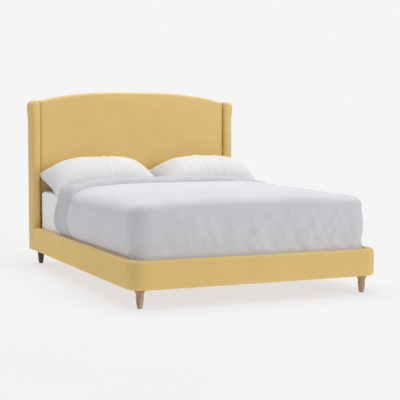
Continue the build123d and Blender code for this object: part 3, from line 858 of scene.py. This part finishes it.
def duvet_outer():
    """The duvet's outer face: rolled over the foot and sides and tucked inside the side rails."""
    half, foot, corner = duvet_high[0], duvet_low[1], 0.125
    top, bottom = duvet_high[2] + 0.002, duvet_low[2] + 0.001
    rail_top, edge_n, edge_z = rail_high[2], 0.088, 0.072

    def side(share):
        height = top - edge_z + (bottom - top + edge_z) * share
        bulge = 0.010 * ((height - 0.42) / 0.11) ** 2
        tuck = 0.018 * smooth_step((rail_top + 0.022 - height) / 0.016)
        above, behind = min(0.012, bulge) * (height > rail_top), 0.003 * (height <= rail_top)
        return above + tuck + behind - 0.008 * (1 - share)

    def front(share):
        return 0.010 * (share - 0.35) ** 2 - 0.015 * smooth_step((share - 0.70) / 0.25)

    profile = side_profile(corner, top, bottom, edge_n, edge_z, side, 40)
    foot_profile = side_profile(corner, top, bottom, edge_n, edge_z, front, 40)
    return Drape(half, foot, corner, profile, None, foot_profile, duvet_crown)


def duvet_inner():
    """The duvet's inner face, a little outside the blanket."""
    gap, corner, bottom = 0.0014, mattress_corner + 0.009, duvet_low[2] + 0.001
    profile = side_profile(corner, blanket_level + 0.0016, bottom, 0.036, 0.036, straight, 40)
    return Drape(blanket_high[0] + gap, blanket_low[1] - gap, corner, profile, crown=blanket_crown)


def duvet_piece():
    """Lofted duvet, wrinkled where it is free of the rails."""
    outer, inner = duvet_outer(), duvet_inner()

    def head_line(across):
        return duvet_edge(across, outer.past_edge(across)) - (outer.foot + outer.corner)

    grid, shares = layered(outer, inner, head_line, 0.009, 0.004, 0.0073)[:2]
    free = smooth_step((grid[..., 2] - rail_high[2] - 0.004) / 0.03)
    grid += outward(grid) * (duvet_wrinkles(grid) * free * np.clip(shares * 2 - 1, 0, 1))[..., None]
    faces = grid_faces(*grid.shape[:2], True)
    piece = make_piece("duvet_cover", grid, faces, "duvet_cotton", "duvet_body", weld)
    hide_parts("duvet")


# ---------------------------------------- pillows
pillow_tilt = math.radians(13.5)
pillow_upper, pillow_lower = 0.192, 0.062
pillow_width = 0.500
# The pillowcases are the same white cotton as the sheet, here in a darker copy: painted shade that dims the
# pillows against the sheet.
shaded_pillow_white = cloth(
    "pillowcase_cotton_painted_shade", tint(220, 220, 221), tint(213, 213, 215), 0.0009, 0.03, 0.00008, 0.3)
# Folds across each pillow: place, lean, depth and width. Ends: how far each moves in X from the CAD box.
left_folds = [(0.02, 0.05, 0.007, 0.012), (0.19, -0.10, 0.004, 0.016)]
right_folds = [(-0.06, -0.12, 0.009, 0.012), (0.09, 0.04, 0.006, 0.012), (-0.24, 0.10, 0.003, 0.02)]
left_ends, right_ends = (-0.018, 0.043), (0.034, 0.060)


def pillow_bag(length, width):
    """A closed bag of two faces sewn round the edge, plump above and flatter where it rests."""
    columns, rows = 56, 36
    u, v = np.meshgrid(np.linspace(-1, 1, columns + 1), np.linspace(-1, 1, rows + 1))
    crowd_u, crowd_v = 0.96, 0.94  # how strongly the points crowd towards the seam
    u = np.sin(u * math.pi / 2 * crowd_u) / math.sin(math.pi / 2 * crowd_u)
    v = np.sin(v * math.pi / 2 * crowd_v) / math.sin(math.pi / 2 * crowd_v)
    fill = np.clip(1 - abs(u) ** 3.6, 0, 1) ** 0.72 * np.clip(1 - abs(v) ** 2.6, 0, 1) ** 0.60
    pull_x = 1 - 0.030 * (1 - v**2)
    pull_y = 1 - 0.055 * (1 - u**2)
    faces, points = [], []
    for side, loft in ((1, pillow_upper), (-1, pillow_lower)):
        start = len(points)
        grid = np.stack([u * pull_x * length / 2, v * pull_y * width / 2, side * fill * loft], axis=-1)
        points += grid.reshape(-1, 3).tolist()
        for face in grid_faces(rows + 1, columns + 1):
            faces.append(tuple(start + corner for corner in (face if side > 0 else reversed(face))))
    return np.array(points), faces


def inflate(piece, pressure, frames, cap):
    """Blow a closed cloth up from inside, then let no point move further than the cap.

    The underside is held, because it rests on the bed."""
    before = read_points(piece)
    held = piece.vertex_groups.new(name="underside")
    held.add([int(i) for i in np.flatnonzero(before[:, 2] < -0.004)], 1.0, "REPLACE")
    settings = piece.modifiers.new("air", "CLOTH").settings
    settings.vertex_group_mass = "underside"
    settings.use_pressure = True
    settings.uniform_pressure_force = pressure
    settings.effector_weights.gravity = 0
    settings.tension_stiffness = 25
    settings.compression_stiffness = 12
    settings.bending_stiffness = 0.35
    settings.air_damping = 2.5
    settings.quality = 6
    scene = bpy.context.scene
    for step in range(1, frames + 1):
        scene.frame_set(step)
    apply_modifiers(piece)
    scene.frame_set(1)
    moved = read_points(piece) - before
    size = np.linalg.norm(moved, axis=1, keepdims=True)
    write_points(piece, before + moved * np.minimum(1, cap / np.maximum(size, 1e-9)))


def read_points(piece):
    """The piece's points as rows of three."""
    flat = np.empty(len(piece.data.vertices) * 3)
    piece.data.vertices.foreach_get("co", flat)
    return flat.reshape(-1, 3)


def write_points(piece, points):
    """Put changed points back into the piece."""
    piece.data.vertices.foreach_set("co", points.reshape(-1))
    piece.data.update()


def soft_above(value, floor, softness=0.006):
    """value kept above floor, with a rounded change where it meets it."""
    return floor + softness * np.logaddexp(0, (value - floor) / softness)


def pillow_piece(name, ends, folds):
    """One pillow in its case, between two places in X."""
    low, high = (Vector(corner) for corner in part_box(f"pillowcase_{name}"))
    low.x, high.x = low.x + ends[0], high.x + ends[1]
    length = high[0] - low[0]
    points, faces = pillow_bag(length, pillow_width)
    piece = make_piece(f"pillow_{name}_cover", points, faces, "white_cotton", f"pillow_{name}_body", weld)
    # The case takes the darker copy of the white cotton: painted shade.
    piece.data.materials[0] = shaded_pillow_white
    inflate(piece, 4.0, 20, 0.022)
    smooth = piece.modifiers.new("soft", "SUBSURF")
    smooth.levels = 1
    apply_modifiers(piece)
    points = read_points(piece)
    seed = 3.0 + 9.0 * (name == "left")
    crown = np.clip(points[:, 2] / pillow_upper, 0, 1)
    for where, lean, depth, wide in folds:
        distance = points[:, 0] - where - lean * points[:, 1]
        crease = np.exp(-((distance / wide) ** 2)) - 0.6 * np.exp(-(((distance - 1.8 * wide) / wide) ** 2))
        points[:, 2] += depth * crease * crown * smooth_step((0.22 - points[:, 1]) / 0.2)
    fine = 0.0012 * ripple(points, 14, seed + 5, (1, 0.4, 1))
    points[:, 2] += (0.0040 * ripple(points, 5, seed) + fine) * crown
    corners = abs(points[:, 0]) / (length / 2) * abs(points[:, 1]) / (pillow_width / 2)
    points[:, 2] += 0.008 * smooth_step((corners - 0.55) / 0.4) * np.sign(points[:, 1])
    place_pillow(piece, points, low, high)
    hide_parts(f"pillow_{name}", f"pillowcase_{name}")


def place_pillow(piece, points, low, high):
    """Lean the pillow back and settle it on the sheet and against the headboard."""
    sink, droop = 0.026, 0.050
    cosine, sine = math.cos(pillow_tilt), math.sin(pillow_tilt)
    x = points[:, 0] + (low[0] + high[0]) / 2
    y = points[:, 1] * cosine - points[:, 2] * sine
    z = points[:, 1] * sine + points[:, 2] * cosine
    rest = sheet_top + 0.002
    z += rest - z.min() - sink
    y += high[1] - y.max() + 0.006
    z = soft_above(z, rest)
    y = -soft_above(-y, -(pad_low[1] - 0.004))
    overhang = np.clip((abs(x) - mattress_high[0] + 0.012) / 0.12, 0, 1)
    z -= droop * overhang**1.4
    write_points(piece, np.stack([x, y, z], axis=1))


# ---------------------------------------- room, light and camera
def backdrop_floor():
    """Pale floor that fades out into the background."""
    radius, fade_start, fade_end, glow = 14.0, 1.7, 4.5, 0.64
    mesh = bpy.data.meshes.new("floor")
    work = bmesh.new()
    bmesh.ops.create_circle(work, cap_ends=True, segments=96, radius=radius)
    work.to_mesh(mesh)
    work.free()
    floor = bpy.data.objects.new("floor", mesh)
    floor.location.z = -0.0005
    bpy.context.scene.collection.objects.link(floor)
    paint = Paint("floor_paint", 0.9, Specular_IOR_Level=0.1)
    distance = paint.tree.nodes.new("ShaderNodeVectorMath")
    distance.operation = "LENGTH"
    paint.feed(distance.inputs[0], paint.place)
    tone = paint.cloud(1.2, 2.0)
    paint.finish(paint.mix(tone, (0.24, 0.24, 0.24, 1), (0.26, 0.26, 0.26, 1)))
    paint.shader.inputs["Emission Color"].default_value = (1, 1, 1, 1)
    paint.shader.inputs["Emission Strength"].default_value = glow
    fade = paint.span(distance.outputs["Value"], fade_start, fade_end, 1.0, 0.0)
    paint.feed(paint.shader.inputs["Alpha"], fade)
    mesh.materials.append(paint.material)


def studio_world():
    """Even light from all round, and a pale background behind the object."""
    world = bpy.data.worlds.new("studio")
    bpy.context.scene.world = world
    world.use_nodes = True
    tree = world.node_tree
    light = tree.nodes["Background"]
    light.inputs["Color"].default_value = (1.0, 1.0, 1.0, 1)
    light.inputs["Strength"].default_value = 0.455
    seen = tree.nodes.new("ShaderNodeBackground")
    seen.inputs["Color"].default_value = (0.913, 0.913, 0.913, 1)
    path = tree.nodes.new("ShaderNodeLightPath")
    choose = tree.nodes.new("ShaderNodeMixShader")
    tree.links.new(path.outputs["Is Camera Ray"], choose.inputs[0])
    tree.links.new(light.outputs[0], choose.inputs[1])
    tree.links.new(seen.outputs[0], choose.inputs[2])
    tree.links.new(choose.outputs[0], tree.nodes["World Output"].inputs["Surface"])


def area_light(name, place, target, size, power):
    """A round lamp that points at the target."""
    data = bpy.data.lights.new(name, "AREA")
    data.shape = "DISK"
    data.size = size
    data.energy = power
    light = bpy.data.objects.new(name, data)
    light.location = place
    light.rotation_euler = (Vector(target) - Vector(place)).to_track_quat("-Z", "Y").to_euler()
    bpy.context.scene.collection.objects.link(light)


def studio():
    """World light and three soft lamps."""
    studio_world()
    area_light("overhead", place=(0.2, 0.3, 5.5), target=(0, 0, 0.4), size=5.0, power=200)
    area_light("front_right", place=(8.0, -10.0, 3.4), target=(0, 0, 0.5), size=5.0, power=450)
    area_light("back_left", place=(-9.5, 5.4, 3.0), target=(0, 0, 0.4), size=5.0, power=150)
    bpy.context.scene.view_settings.view_transform = "Standard"


def camera():
    """The camera model fitted to the photo."""
    tilt, heading = 85.90, -23.61
    data = bpy.data.cameras.new("camera")
    data.lens = 94.3
    data.sensor_width = 36.0
    made = bpy.data.objects.new("camera", data)
    made.location = (-2.81, -6.65, 1.05)
    made.rotation_euler = (math.radians(tilt), 0, math.radians(heading))
    bpy.context.scene.collection.objects.link(made)
    bpy.context.scene.camera = made


camera()
studio()
backdrop_floor()
paint_cad_nodes()
front_pad()
wing_cover(1, "wing_roll_right")
wing_cover(-1, "wing_roll_left")
back_cloth()
side_cover(1, "side_rail_cover_right")
side_cover(-1, "side_rail_cover_left")
foot_cover()
mattress_piece()
fitted_sheet_piece()
blanket_piece()
duvet_piece()
pillow_piece("left", left_ends, left_folds)
pillow_piece("right", right_ends, right_folds)
